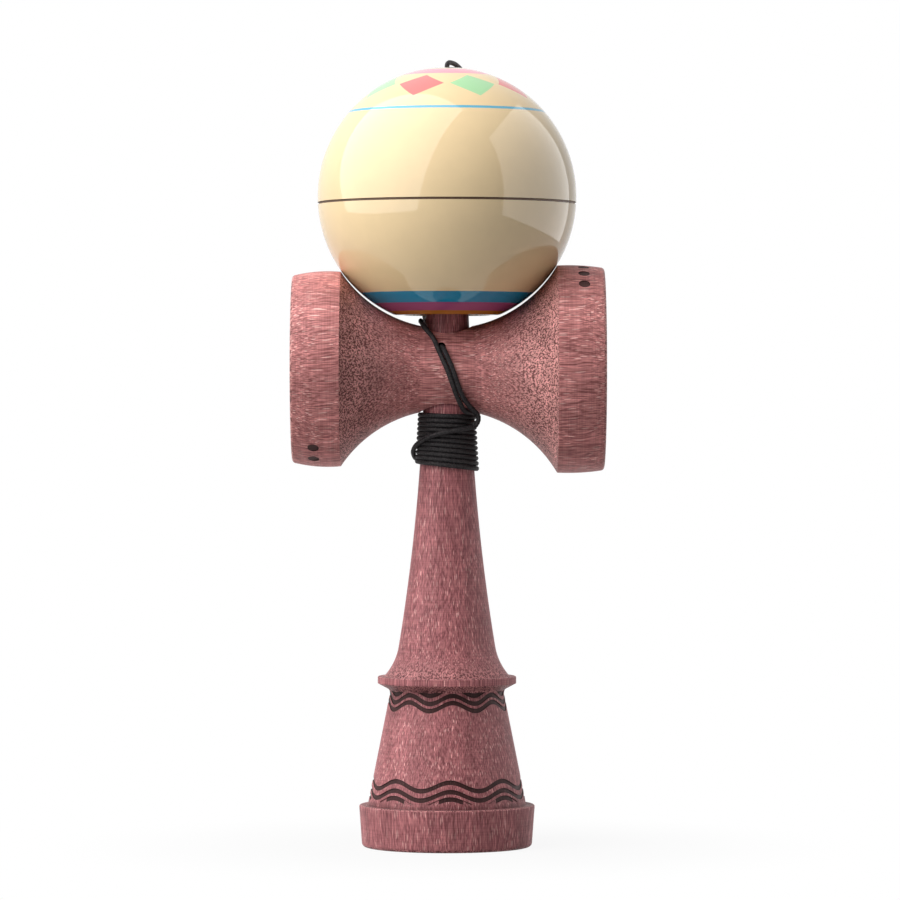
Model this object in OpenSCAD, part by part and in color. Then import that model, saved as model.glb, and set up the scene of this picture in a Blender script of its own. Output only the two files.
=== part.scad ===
// Kendama: a turned handle with a spike and a base cup, a cross piece with two cups, a bored
// ball that rests on the cross piece, and the string that ties them together.
// Sizes are in millimetres. The origin is the middle of the base, +Z runs up the handle, +X
// points to the big cup, and the string is wound on the handle's front, towards -Y.

/* [Base] */
// Diameter of the base band at its upper edge
base_d = 40.6; // [38:0.2:46]
// Diameter of the base band at its foot
foot_d = 39.2; // [36:0.2:44]
// Height of the base band
base_h = 9.7; // [8:0.1:14]
// Rounding of the base band's lower edge
foot_round = 1; // [0.5:0.1:2]
// Rounding of the base band's upper edge
band_round = 0.4; // [0.3:0.1:1.2]
// Width of the base's rim round its cup
base_lip = 4.1; // [3:0.1:6]
// Depth of the cup in the base
base_cup_depth = 6.2; // [4:0.1:7.5]

/* [Handle] */
// Width of the base band's ledge round the skirt
ledge_w = 2; // [1:0.1:4]
// Diameter of the neck under the collar
neck_d = 26.3; // [22:0.1:28]
// Radius of the cove between the neck and the collar
neck_cove = 1.2; // [0.6:0.1:2]
// Height of the lower edge of the collar's band
collar_z = 37.75; // [30:0.05:42]
// Diameter of the collar
collar_d = 32; // [30:0.2:36]
// Height of the collar's band
collar_h = 1.65; // [1.2:0.05:4]
// Fall of the collar's underside, from its band to the neck
collar_fall = 1.5; // [1:0.1:3]
// Rounding of the upper edge of the collar's band
collar_round = 0.35; // [0.1:0.05:0.5]
// Height of the flare between the collar and the shaft
flare_h = 6.9; // [4:0.1:8]
// Radius of the flare between the collar and the shaft
flare_round = 13.5; // [9:0.5:16]
// Diameter of the shaft where it runs into the flare
shaft_foot_d = 22.3; // [20:0.1:25]

/* [Spike] */
// Diameter of the spike where it leaves the cross piece
spike_d = 10.25; // [9:0.05:12]
// Diameter of the spike's round tip
tip_d = 6.6; // [5:0.1:8]

/* [Cross piece] */
// Height of the cross piece's axis
sarado_z = 110.3; // [90:0.1:135]
// Distance from the handle's axis to the big cup's mouth
big_reach = 36.3; // [33:0.1:45]
// Distance from the handle's axis to the small cup's mouth
small_reach = 35.7; // [33:0.1:45]
// Diameter of the barrel between the cups
barrel_d = 20; // [17:0.2:24]
// Diameter of the big cup
big_cup_d = 48; // [44:0.2:54]
// Depth of the big cup
big_dish_depth = 9.5; // [6:0.1:12]
// Diameter of the small cup
small_cup_d = 45.2; // [42:0.2:50]
// Depth of the small cup
small_dish_depth = 8.5; // [6:0.1:11]
// Width of a cup's lip, from its outside to its mouth
cup_lip = 2.9; // [2:0.1:4]
// Radius of the crown along the big cup's rim
big_rim_crown = 50; // [25:1:90]
// Radius of the crown along the small cup's rim
small_rim_crown = 32; // [25:1:90]
// Distance from a cup's mouth to the fullest place of its rim
rim_crown_inset = 8.2; // [5:0.1:10]
// Rounding of a cup's outer edge
rim_round = 0.9; // [0.3:0.1:1.2]
// Widening of the bore at its two mouths, on the radius
mouth_flare = 0.8; // [0.2:0.1:1.2]
// Depth of that widening
mouth_flare_h = 4.5; // [2:0.1:6]

/* [Ball] */
// Diameter of the ball
tama_d = 59.8; // [50:0.1:72]
// Diameter of the flat under the ball
flat_d = 24.3; // [21:0.1:30]
// Gap between the flat and the cross piece's barrel
flat_gap = 2.45; // [1.8:0.05:4]
// Diameter of the hole that takes the spike
hole_d = 15.5; // [13:0.1:17]
// Width of the bevel round the hole's mouth
bevel_w = 2.2; // [1:0.1:2.5]
// Thickness of the ball's crown above the point of its hole
crown_wall = 5.1; // [4:0.1:8]
// Bevel at the mouth of the crown's string hole
crown_bevel = 0.4; // [0.1:0.1:0.8]
// Width of the turned groove round the ball
groove_w = 0.55; // [0.3:0.05:1]
// Depth of the turned groove
groove_depth = 0.35; // [0.2:0.05:0.8]
// Distance of the groove below the ball's middle
groove_drop = 1.55; // [0:0.05:6]

/* [String] */
// Diameter of the string
string_d = 1.1; // [0.8:0.1:1.4]
// Full turns of string round the shaft
turns = 7; // [4:1:7]
// Distance of the winding's upper end below the cross piece
winding_drop = 0.9; // [0.8:0.1:2]
// Height of the winding between the middles of its end turns
winding_h = 12; // [12:0.1:20]
// Climb of the last strand, from the winding's foot to where it leaves
climb_h = 8.1; // [6:0.1:9]
// Diameter of the bead inside the ball
bead_d = 8; // [6:0.1:9]
// Height of the bead between its flat ends
bead_h = 6.4; // [5:0.1:7]
// Diameter of a knot in the string
knot_d = 3.4; // [2.8:0.1:4]
// Distance of the string hole below the top of the cross piece's barrel
string_hole_drop = 5; // [4:0.1:7]
// Distance of the string hole to the left of the handle's axis
string_hole_left = 1.3; // [0:0.1:2]

/* [Fits] */
// Clearance of the tapered bore on the handle, on the radius
taper_fit = 0.05; // [0.02:0.01:0.1]
// Gap between the resting ball and the flanks' circle, straight below the ball
nest_gap = 0.52; // [0.5:0.02:1]
// Distance of that circle's middle below the ball's, which narrows the gap towards the rims
nest_drop = 0.95; // [0:0.05:1]
// Gap between two pieces that rest on each other
seat_gap = 0.3; // [0.1:0.05:0.5]
// Gap between the winding and the shaft, and between a knot and its bead
string_gap = 0.15; // [0.1:0.05:0.3]
// Clearance of the string in the cross piece and in the bead, on the radius
thread_fit = 0.5; // [0.2:0.05:0.6]
// Clearance of the string in the ball's crown, on the radius
crown_fit = 0.75; // [0.6:0.05:1.2]
// Clearance of the first knot in the handle's pocket, on the radius
pocket_fit = 0.5; // [0.2:0.05:0.6]

/* [Hidden] */
$fn = 128;

// Flats on the shaft's long sweep, which is a short stretch of a very large circle
sweep_facets = 1440;

// Sides of the string's tube, in the winding and in its free stretches
winding_sides = 6;
cord_sides = 8;

// How far a cut runs past the face it opens
overrun = 1;

// Angle of the drill that made the ball's hole, across its point
drill_point = 118;

// Colours of the pieces
ken_colour = "#6b3438";
sarado_colour = "#74393c";
tama_colour = "#e2c690";
bead_colour = "#c9a36b";
string_colour = "#1b1a1c";

// Diameters that follow from a wall, a lip or a fit
base_cup_d = foot_d - 2 * base_lip;
skirt_d = base_d - 2 * ledge_w;
bevel_d = hole_d + 2 * bevel_w;
bead_bore_d = string_d + 2 * thread_fit;
string_hole_d = string_d + 2 * thread_fit;
crown_hole_d = string_d + 2 * crown_fit;
pocket_d = knot_d + 2 * pocket_fit;

// Heights along the handle
barrel_top = sarado_z + barrel_d / 2;
barrel_foot = sarado_z - barrel_d / 2;
flare_z = collar_z + collar_h + flare_h;
string_hole_z = barrel_top - string_hole_drop;
winding_top = barrel_foot - winding_drop;
winding_foot = winding_top - winding_h;
winding_exit = winding_foot + climb_h;

// The ball rests with its flat above the barrel, nested between the cups
tama_foot = barrel_top + flat_gap;
tama_z = tama_foot + sqrt(pow(tama_d / 2, 2) - pow(flat_d / 2, 2));
tama_top = tama_z + tama_d / 2;
nest_r = tama_d / 2 + nest_gap - nest_drop;
nest_rise = tama_z - nest_drop - sarado_z;

// From the crown downwards: the drilled end, the bead that seats in it, the knot and the spike's tip
drill_apex = tama_top - crown_wall;
bead_z = drill_apex - (bead_d / 2 + seat_gap) / sin(drill_point / 2);
bead_foot = bead_z - bead_h / 2;
knot_z = bead_foot - sqrt(pow(knot_d / 2 + string_gap, 2) - pow(bead_bore_d / 2, 2));
tip_z = knot_z - knot_d / 2 - seat_gap;

// Radius of a sphere that is so deep under a mouth of that diameter
function dish_round(mouth_d, depth) = (pow(mouth_d / 2, 2) + pow(depth, 2)) / (2 * depth);

// Height of the drilled end where it is that far from the axis
function drilled_z(r) = drill_apex - r / tan(drill_point / 2);

// The shaft's long sweep is upright at the spike's root and ends in the flare
shaft_swell = (shaft_foot_d - spike_d) / 2;
shaft_sweep = (pow(barrel_top - flare_z, 2) + pow(shaft_swell, 2)) / (2 * shaft_swell);
function shaft_r(z) =
    spike_d / 2 + shaft_sweep - sqrt(pow(shaft_sweep, 2) - pow(barrel_top - z, 2));

function mix(from, to, share) = from + (to - from) * share;
function ease(share) = let (s = max(0, min(1, share))) s * s * (3 - 2 * s);
function unit(v) = v / norm(v);
function along(path, i) = unit(path[min(i + 1, len(path) - 1)] - path[max(i - 1, 0)]);

// A tube along a path. Across is a direction that the path never takes
module tube(path, across, sides) {
    rings = [for (i = [0:len(path) - 1])
        let (t = along(path, i), u = unit(cross(t, across)), v = cross(t, u))
        [for (k = [0:sides - 1])
            path[i] + string_d / 2 * (u * cos(360 * k / sides) + v * sin(360 * k / sides))]];
    last = (len(path) - 1) * sides;
    walls = [for (i = [0:len(path) - 2], k = [0:sides - 1])
        let (a = i * sides + k, b = i * sides + (k + 1) % sides)
        each [[a, b + sides, b], [a, a + sides, b + sides]]];
    ends = [for (k = [1:sides - 2])
        each [[0, k, k + 1], [last, last + k + 1, last + k]]];
    polyhedron([for (ring = rings) each ring], concat(walls, ends), convexity = 10);
}

// A curve through all of the points, straight at both ends, with a ring at each and one between
function halfway(p, i) = i == 0 || i == len(p) - 2
    ? (p[i] + p[i + 1]) / 2
    : (9 * (p[i] + p[i + 1]) - p[i - 1] - p[i + 2]) / 16;
function smooth(p) = [for (i = [0:len(p) - 1])
    each i < len(p) - 1 ? [p[i], halfway(p, i)] : [p[i]]];

// What is cut off outside a rounded corner whose tip is at the origin
module corner_waste(r) {
    difference() {
        translate([-r, -r]) square(r + overrun);
        translate([-r, -r]) circle(r);
    }
}

// Handle, as half of its section

module base_section() {
    foot_side = mix(foot_d, base_d, foot_round / base_h) / 2;
    band_side = mix(base_d, foot_d, band_round / base_h) / 2;
    difference() {
        polygon([[0, 0], [foot_d / 2, 0], [base_d / 2, base_h], [0, base_h]]);
        translate([foot_side, 0]) mirror([0, 1]) corner_waste(foot_round);
        translate([band_side, base_h]) corner_waste(band_round);
    }
}

// The skirt runs up to the neck, and a cove there turns into the collar's sloping underside
module skirt_section() {
    slope = atan(2 * collar_fall / (collar_d - neck_d));
    cove = [neck_d / 2 + neck_cove,
        collar_z - collar_fall + neck_cove * (tan(slope) - 1 / cos(slope))];
    touch = cove + neck_cove * [-sin(slope), cos(slope)];
    polygon([[0, base_h / 2], [skirt_d / 2, base_h / 2], [skirt_d / 2, base_h],
        [neck_d / 2, cove[1]], [0, cove[1]]]);
    difference() {
        polygon([[0, cove[1]], cove, touch, [0, touch[1]]]);
        translate(cove) circle(neck_cove);
    }
}

module collar_section() {
    edge_r = collar_d / 2;
    top = collar_z + collar_h;
    difference() {
        polygon([[0, collar_z - collar_fall], [neck_d / 2, collar_z - collar_fall],
            [edge_r, collar_z], [edge_r, top], [0, top]]);
        translate([edge_r, top]) corner_waste(collar_round);
    }
}

// The flare leaves the collar and runs on smoothly into the shaft's long sweep
module shaft_section() {
    lean = asin((barrel_top - flare_z) / shaft_sweep);
    middle = collar_z + collar_h / 2;
    difference() {
        translate([0, middle]) square([collar_d / 2 - collar_round, barrel_top - middle]);
        intersection() {
            translate([spike_d / 2 + shaft_sweep, barrel_top]) circle(shaft_sweep, $fn = sweep_facets);
            translate([0, flare_z]) square([collar_d, barrel_top - flare_z + overrun]);
        }
        translate([shaft_foot_d / 2 + flare_round * cos(lean), flare_z + flare_round * sin(lean)])
            circle(flare_round);
    }
}

module spike_section() {
    polygon([[0, sarado_z], [spike_d / 2, sarado_z], [spike_d / 2, barrel_top],
        [tip_d / 2, tip_z - tip_d / 2], [0, tip_z - tip_d / 2]]);
    translate([0, tip_z - tip_d / 2]) intersection() {
        circle(tip_d / 2);
        square(tip_d / 2);
    }
}

module base_cup_section() {
    r = dish_round(base_cup_d, base_cup_depth);
    translate([0, base_cup_depth - r]) circle(r);
}

// The hole's line, from the middle of the handle out of the front of the cross piece
module string_hole_line() {
    translate([-string_hole_left, 0, string_hole_z]) rotate([90, 0, 0]) children();
}

module ken() {
    color(ken_colour) difference() {
        rotate_extrude() difference() {
            union() {
                base_section();
                skirt_section();
                collar_section();
                shaft_section();
                spike_section();
            }
            base_cup_section();
        }
        string_hole_line() cylinder(h = spike_d, d = pocket_d);
    }
}

// Cross piece: one cup's half of the section, with its length upwards

module cup_section(cup_d, reach, dish_depth, rim_crown) {
    crown_axis = cup_d / 2 - rim_crown;
    crown_reach = rim_crown_inset - rim_round;
    edge_r = crown_axis + sqrt(pow(rim_crown, 2) - pow(crown_reach, 2));
    dish_r = dish_round(cup_d - 2 * cup_lip, dish_depth);
    difference() {
        intersection() {
            square([cup_d / 2, reach]);
            translate([crown_axis, reach - rim_crown_inset]) circle(rim_crown);
        }
        translate([nest_rise, 0]) circle(nest_r);
        translate([0, reach - dish_depth + dish_r]) circle(dish_r);
        translate([edge_r, reach]) corner_waste(rim_round);
    }
}

module sarado_section() {
    barrel_half = sqrt(pow(nest_r, 2) - pow(nest_rise - barrel_d / 2, 2)) + overrun;
    cup_section(big_cup_d, big_reach, big_dish_depth, big_rim_crown);
    mirror([0, 1]) cup_section(small_cup_d, small_reach, small_dish_depth, small_rim_crown);
    translate([0, -barrel_half]) square([barrel_d / 2, 2 * barrel_half]);
}

// The bore tapers as the handle does, and widens at both mouths
module taper_bore() {
    foot_r = shaft_r(barrel_foot) + taper_fit;
    top_r = spike_d / 2 + taper_fit;
    lip_slope_share = mouth_flare / mouth_flare_h;
    lip = mouth_flare + overrun * lip_slope_share;
    translate([0, 0, barrel_foot]) cylinder(h = barrel_d, r1 = foot_r, r2 = top_r);
    translate([0, 0, barrel_foot - overrun])
        cylinder(h = mouth_flare_h + overrun, r1 = foot_r + lip, r2 = foot_r);
    translate([0, 0, barrel_top - mouth_flare_h])
        cylinder(h = mouth_flare_h + overrun, r1 = top_r, r2 = top_r + lip);
}

module sarado() {
    color(sarado_colour) difference() {
        translate([0, 0, sarado_z]) rotate([0, 90, 0]) rotate_extrude() sarado_section();
        taper_bore();
        string_hole_line() cylinder(h = barrel_d / 2 + overrun, d = string_hole_d);
    }
}

// Ball, bead and the string inside the ball

module tama_section() {
    bevel_h = (bevel_d - hole_d) / 2;
    difference() {
        intersection() {
            translate([0, tama_z]) circle(tama_d / 2);
            translate([0, tama_foot]) square([tama_d / 2, tama_d]);
        }
        polygon([[0, tama_foot - overrun], [hole_d / 2, tama_foot - overrun],
            [hole_d / 2, drilled_z(hole_d / 2)], [crown_hole_d / 2, drilled_z(crown_hole_d / 2)],
            [crown_hole_d / 2, tama_top + overrun], [0, tama_top + overrun]]);
        polygon([[0, tama_foot - overrun], [bevel_d / 2 + overrun, tama_foot - overrun],
            [hole_d / 2, tama_foot + bevel_h], [0, tama_foot + bevel_h]]);
        polygon([[0, tama_top + overrun], [crown_hole_d / 2 + crown_bevel + overrun, tama_top + overrun],
            [crown_hole_d / 2, tama_top - crown_bevel], [0, tama_top - crown_bevel]]);
        translate([tama_d / 2 - groove_depth, tama_z - groove_drop - groove_w / 2])
            square([groove_depth + overrun, groove_w]);
    }
}

module tama() {
    color(tama_colour) rotate_extrude() tama_section();
}

module bead() {
    color(bead_colour) translate([0, 0, bead_z]) rotate_extrude() intersection() {
        circle(bead_d / 2);
        translate([bead_bore_d / 2, -bead_h / 2]) square([bead_d / 2, bead_h]);
    }
}

// The string's end runs down through the crown and the bead to its knot
module string_core() {
    top = barrel_top + riser_route[len(riser_route) - 1][2];
    color(string_colour) union() {
        translate([0, 0, knot_z]) cylinder(h = top - knot_z, d = string_d);
        translate([0, 0, knot_z]) sphere(d = knot_d);
    }
}

// Winding: down the shaft in even turns, then one strand back up across the front.
// Angles run anticlockwise seen from above, with 0 at the big cup and 270 at the front

ring_step = 15;
start_angle = -30;
lift_angle = 360 * turns + 15;
foot_angle = 360 * turns + 90;
exit_angle = 360 * turns + 300;
pitch = (winding_top - winding_foot) * 360 / (foot_angle - start_angle);

// The strand that climbs lies over the turns, as clear of them as the turns are of each other
function winding_z(a) = a < foot_angle
    ? mix(winding_top, winding_foot, (a - start_angle) / (foot_angle - start_angle))
    : mix(winding_foot, winding_exit, (a - foot_angle) / (exit_angle - foot_angle));
function winding_r(a) = shaft_r(winding_z(a)) + string_gap + string_d / 2
    + pitch * ease((a - lift_angle) / (foot_angle - lift_angle));
function winding_point(a) = [winding_r(a) * cos(a), winding_r(a) * sin(a), winding_z(a)];

turn_points = [for (a = [start_angle:ring_step:exit_angle]) winding_point(a)];
last_turn_point = turn_points[len(turn_points) - 1];

// Both ends run straight for one string diameter
start_way = unit(turn_points[1] - turn_points[0]);
exit_way = unit(last_turn_point - turn_points[len(turn_points) - 2]);
winding_start = turn_points[0] - start_way * string_d;
winding_end = last_turn_point + exit_way * string_d;
winding_path = concat([winding_start], turn_points, [winding_end]);

// Least gap of the winding to itself, between points at least a third of a turn apart
apart = 120 / ring_step;
self_gap = min([for (i = [0:len(winding_path) - 1], j = [i + apart:len(winding_path) - 1])
    norm(winding_path[i] - winding_path[j])]) - string_d;
echo(least_gap_of_winding = self_gap);

module string_winding() {
    color(string_colour) tube(winding_path, [0, 0, 1], winding_sides);
}

// Free stretches of the string, as points along its middle with heights from the barrel's top

// From the saddle beside the spike, down the front of the cross piece
drop_route = [[-6, 0, 1.1], [-6, -1.2, 1.1], [-5.6, -4.4, 0], [-4.6, -6.6, -1.4],
    [-3.5, -8.4, -3.2], [-2.5, -9.8, -5.4], [-1.5, -10.7, -8.1], [-0.5, -10.8, -10.7],
    [0.4, -10.4, -13.3], [1.3, -9.5, -15.5], [2.2, -8.3, -17.4], [3.2, -7.1, -19.1]];

// From the slack loop beside the winding, up the front to the cross piece's string hole
lead_route = [[7, -5.6, -23.3], [7.8, -5.2, -21.7], [7.3, -5.8, -19.9], [6.1, -7.1, -18.5],
    [4.9, -8.6, -16.9], [4, -9.9, -14.7], [3, -10.7, -12.1], [1.8, -10.9, -9.5],
    [0.6, -10.8, -7.3], [-0.6, -10.6, -5.8], [-1.2, -10.1, -5.1], [-1.3, -9.4, -5],
    [-1.3, -8.3, -5]];

// From the saddle to the back, up behind the ball and into the crown
riser_route = [[-6, 0, 1.1], [-6, 1.2, 1.1], [-6, 6, 1.1], [-5, 11.2, 1.4], [-5.3, 14.7, 2.9],
    [-5.7, 20, 6.9], [-5.2, 24.6, 11.7], [-3.4, 28.2, 17.3], [-1.6, 30.4, 23.4],
    [0.5, 31, 29.9], [2.6, 30.3, 36.3], [3.9, 28.1, 42.4], [4.8, 24.6, 48], [5, 20.2, 52.9],
    [4.5, 14.9, 56.7], [3.6, 9.4, 59.2], [2.2, 4.9, 60.5], [0.9, 2, 60.9], [0.2, 0.5, 60.6],
    [0, 0, 59.7], [0, 0, 58.5]];

function placed(route) = [for (p = route) p + [0, 0, barrel_top]];

module string_drop() {
    meeting = [winding_start - start_way * string_d, winding_start];
    color(string_colour) tube(concat(placed(drop_route), meeting), [1, 0, 0], cord_sides);
}

module string_lead() {
    meeting = [winding_end, winding_end + exit_way * string_d];
    color(string_colour) tube(concat(meeting, placed(lead_route)), [1, 0, 0], cord_sides);
}

module string_riser() {
    color(string_colour) tube(smooth(placed(riser_route)), [1, 0, 0], cord_sides);
}

// The string's first end, with its knot in the handle's pocket behind the cross piece's wall
module string_anchor() {
    bore_r = mix(shaft_r(barrel_foot), spike_d / 2, (string_hole_z - barrel_foot) / barrel_d);
    wall = sqrt(pow(bore_r, 2) - pow(string_hole_left, 2));
    knot_y = wall - knot_d / 2 - seat_gap;
    mouth = -lead_route[len(lead_route) - 1][1];
    color(string_colour) string_hole_line() union() {
        translate([0, 0, knot_y]) sphere(d = knot_d);
        translate([0, 0, knot_y]) cylinder(h = mouth - knot_y, d = string_d);
    }
}

ken();
sarado();
tama();
bead();
string_anchor();
string_lead();
string_winding();
string_drop();
string_riser();
string_core();
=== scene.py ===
"""Looks of a kendama: a turned handle and cross piece of reddish wood, a lacquered ball and a string."""
import math

import bpy
import numpy as np
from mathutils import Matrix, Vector


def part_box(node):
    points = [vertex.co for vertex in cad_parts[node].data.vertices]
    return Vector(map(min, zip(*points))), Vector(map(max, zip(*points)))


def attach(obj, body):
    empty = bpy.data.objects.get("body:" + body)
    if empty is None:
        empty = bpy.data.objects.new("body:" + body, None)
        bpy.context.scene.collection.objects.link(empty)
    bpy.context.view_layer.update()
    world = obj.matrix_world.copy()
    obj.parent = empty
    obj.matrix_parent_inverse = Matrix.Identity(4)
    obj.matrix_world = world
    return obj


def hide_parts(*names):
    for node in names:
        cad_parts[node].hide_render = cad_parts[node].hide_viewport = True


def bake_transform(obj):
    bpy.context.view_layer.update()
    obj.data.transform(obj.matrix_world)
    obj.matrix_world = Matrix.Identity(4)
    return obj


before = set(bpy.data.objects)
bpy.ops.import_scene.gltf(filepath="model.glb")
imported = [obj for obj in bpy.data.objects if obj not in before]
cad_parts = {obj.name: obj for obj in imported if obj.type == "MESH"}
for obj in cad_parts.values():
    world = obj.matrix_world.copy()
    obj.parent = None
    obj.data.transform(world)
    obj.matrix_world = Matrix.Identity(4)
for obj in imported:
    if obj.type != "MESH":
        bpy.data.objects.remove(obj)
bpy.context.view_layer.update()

MM = 0.001
FRONT = -90.0

# Sizes of the handle, in millimetres
FOOT_R, BASE_R, BASE_H = 19.6, 20.3, 9.7
FOOT_ROUND, BAND_ROUND = 1.0, 0.4
BASE_CUP_R, BASE_CUP_DEPTH = 15.5, 6.2
SKIRT_R, NECK_R, NECK_COVE = 18.3, 13.15, 1.2
COLLAR_R, COLLAR_Z, COLLAR_H = 16.0, 37.75, 1.65
COLLAR_FALL, COLLAR_ROUND = 1.5, 0.35
FLARE_H, FLARE_ROUND, SHAFT_FOOT_R = 6.9, 13.5, 11.15
SPIKE_R, TIP_R = 5.125, 3.3
POCKET_R, POCKET_X, POCKET_DROP = 2.2, -1.3, 5.0

# Sizes of the cross piece
BARREL_R = 10.0
BIG_CUP = {"r": 24.0, "depth": 9.5, "crown": 50.0}
SMALL_CUP = {"r": 22.6, "depth": 8.5, "crown": 32.0}
CUP_LIP, RIM_INSET, RIM_ROUND = 2.9, 8.2, 0.9
TAPER_FIT, MOUTH_FLARE, MOUTH_FLARE_H = 0.05, 0.8, 4.5
STRING_HOLE_R = 1.05

# Sizes of the ball
FLAT_R, HOLE_R, BEVEL_W = 12.15, 7.75, 2.2
CROWN_HOLE_R, CROWN_BEVEL, CROWN_WALL = 1.3, 0.4, 5.1
GROOVE_W, GROOVE_DEPTH, GROOVE_DROP = 0.55, 0.35, 1.55
DRILL_HALF_ANGLE = 59.0
NEST_GAP, NEST_DROP = 0.52, 0.95

# Fineness of the meshes: the longest stretch along a section, the columns round it and its least radius
KEN_STRETCH, SKIRT_STRETCH, SARADO_STRETCH, HOLE_STRETCH = 1.2, 0.2, 0.8, 1.0
KEN_COLUMNS, SARADO_COLUMNS, BORE_COLUMNS, TAMA_COLUMNS = 360, 300, 120, 288
AXIS_R = 0.02

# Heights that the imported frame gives
ken_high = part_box("ken")[1]
sarado_low, sarado_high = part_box("sarado")
tama_low, tama_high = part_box("tama")
bead_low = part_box("bead")[0]
TIP_Z = ken_high.z / MM
BIG_CUP["reach"] = sarado_high.x / MM
SMALL_CUP["reach"] = -sarado_low.x / MM
SARADO_Z = (sarado_low.z + sarado_high.z) / 2 / MM
TAMA_R = tama_high.x / MM
TAMA_FOOT = tama_low.z / MM
TAMA_Z = TAMA_FOOT + math.sqrt(TAMA_R ** 2 - FLAT_R ** 2)
TAMA_TOP = TAMA_Z + TAMA_R
BEAD_FOOT = bead_low.z / MM
BARREL_TOP = SARADO_Z + BARREL_R
BARREL_FOOT = SARADO_Z - BARREL_R
FLARE_Z = COLLAR_Z + COLLAR_H + FLARE_H
STRING_HOLE_Z = BARREL_TOP - POCKET_DROP
NECK_TOP = COLLAR_Z - COLLAR_FALL
NEST_R = TAMA_R + NEST_GAP - NEST_DROP
NEST_RISE = TAMA_Z - NEST_DROP - SARADO_Z


# Curves of the turned sections

def arc(centre, radius, start, end, step=6.0):
    """Points on an arc from one angle to the other, in degrees."""
    count = max(2, math.ceil(abs(end - start) / step) + 1)
    turn = np.radians(np.linspace(start, end, count))
    return [(centre[0] + radius * math.cos(a), centre[1] + radius * math.sin(a)) for a in turn]


def split(points, longest):
    """The same line, with no stretch longer than that."""
    out = [points[0]]
    for a, b in zip(points, points[1:]):
        count = max(1, math.ceil(math.dist(a, b) / longest))
        out += [tuple(np.add(a, np.subtract(b, a) * k / count)) for k in range(1, count + 1)]
    return out


def dish(mouth_r, depth):
    """Radius of a sphere that is so deep under a mouth of that radius."""
    return (mouth_r ** 2 + depth ** 2) / (2 * depth)


SHAFT_SWELL = SHAFT_FOOT_R - SPIKE_R
SHAFT_SWEEP = ((BARREL_TOP - FLARE_Z) ** 2 + SHAFT_SWELL ** 2) / (2 * SHAFT_SWELL)


def shaft_r(z):
    return SPIKE_R + SHAFT_SWEEP - math.sqrt(SHAFT_SWEEP ** 2 - (BARREL_TOP - z) ** 2)


def base_outline():
    """From the middle of the base cup, round the foot and up to the skirt."""
    side = lambda z: FOOT_R + (BASE_R - FOOT_R) * z / BASE_H
    cup = dish(BASE_CUP_R, BASE_CUP_DEPTH)
    mouth = math.degrees(math.asin((cup - BASE_CUP_DEPTH) / cup))
    foot_centre = (side(FOOT_ROUND) - FOOT_ROUND, FOOT_ROUND)
    band_centre = (side(BASE_H - BAND_ROUND) - BAND_ROUND, BASE_H - BAND_ROUND)
    return (arc((0.0, BASE_CUP_DEPTH - cup), cup, 90, mouth, 2)
            + arc(foot_centre, FOOT_ROUND, -90, 0)
            + arc(band_centre, BAND_ROUND, 0, 90, 10))


def skirt_outline():
    """Up the skirt, round the cove at the neck and out under the collar."""
    slope = math.atan(COLLAR_FALL / (COLLAR_R - NECK_R))
    cove = (NECK_R + NECK_COVE, NECK_TOP + NECK_COVE * (math.tan(slope) - 1 / math.cos(slope)))
    return ([(SKIRT_R, BASE_H)] + arc(cove, NECK_COVE, 180, 90 + math.degrees(slope))
            + [(COLLAR_R, COLLAR_Z)])


def shaft_outline():
    """From the collar's band up to the spike's tip."""
    collar_top = COLLAR_Z + COLLAR_H
    lean = math.degrees(math.asin((BARREL_TOP - FLARE_Z) / SHAFT_SWEEP))
    flare = (SHAFT_FOOT_R + FLARE_ROUND * math.cos(math.radians(lean)),
             FLARE_Z + FLARE_ROUND * math.sin(math.radians(lean)))
    leaves = math.degrees(math.asin((flare[1] - collar_top) / FLARE_ROUND))
    return (arc((COLLAR_R - COLLAR_ROUND, collar_top - COLLAR_ROUND), COLLAR_ROUND, 0, 90, 15)
            + arc(flare, FLARE_ROUND, 180 + leaves, 180 + lean, 3)
            + arc((SPIKE_R + SHAFT_SWEEP, BARREL_TOP), SHAFT_SWEEP, 180 + lean, 180, 0.25)[1:]
            + arc((0.0, TIP_Z - TIP_R), TIP_R, 0, 90))


def cup_outline(cup):
    """One half of the cross piece, from the middle of its cup to the barrel, as (radius, distance)."""
    reach, rim_crown = cup["reach"], cup["crown"]
    mouth_r = cup["r"] - CUP_LIP
    bowl = dish(mouth_r, cup["depth"])
    mouth = math.degrees(math.asin((bowl - cup["depth"]) / bowl))
    crown_axis = cup["r"] - rim_crown
    crown = lambda x: crown_axis + math.sqrt(rim_crown ** 2 - (x - reach + RIM_INSET) ** 2)
    edge_r = crown(reach - RIM_ROUND)
    flank = lambda x: NEST_RISE - math.sqrt(NEST_R ** 2 - x ** 2)
    meet_low, meet_high = BARREL_R, reach - RIM_ROUND
    for _ in range(50):
        middle = (meet_low + meet_high) / 2
        if flank(middle) < crown(middle):
            meet_low = middle
        else:
            meet_high = middle
    root = math.sqrt(NEST_R ** 2 - (NEST_RISE - BARREL_R) ** 2)
    bowl_line = [(r, reach + bowl - cup["depth"] - z)
                 for r, z in arc((0.0, 0.0), bowl, 90, mouth, 2)]
    rim_line = [(crown(x), x) for x in np.linspace(reach - RIM_ROUND, meet_low, 24)]
    flank_line = [(flank(x), x) for x in np.linspace(meet_low, root, 50)]
    return (bowl_line + arc((edge_r - RIM_ROUND, reach - RIM_ROUND), RIM_ROUND, 90, 0, 10)
            + rim_line[1:] + flank_line[1:])


def sarado_outline():
    big = split(cup_outline(BIG_CUP), SARADO_STRETCH)
    small = split([(r, -x) for r, x in cup_outline(SMALL_CUP)][::-1], SARADO_STRETCH)
    barrel = split([big[-1], small[0]], SARADO_STRETCH)
    return big + barrel[1:-1] + small


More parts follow.
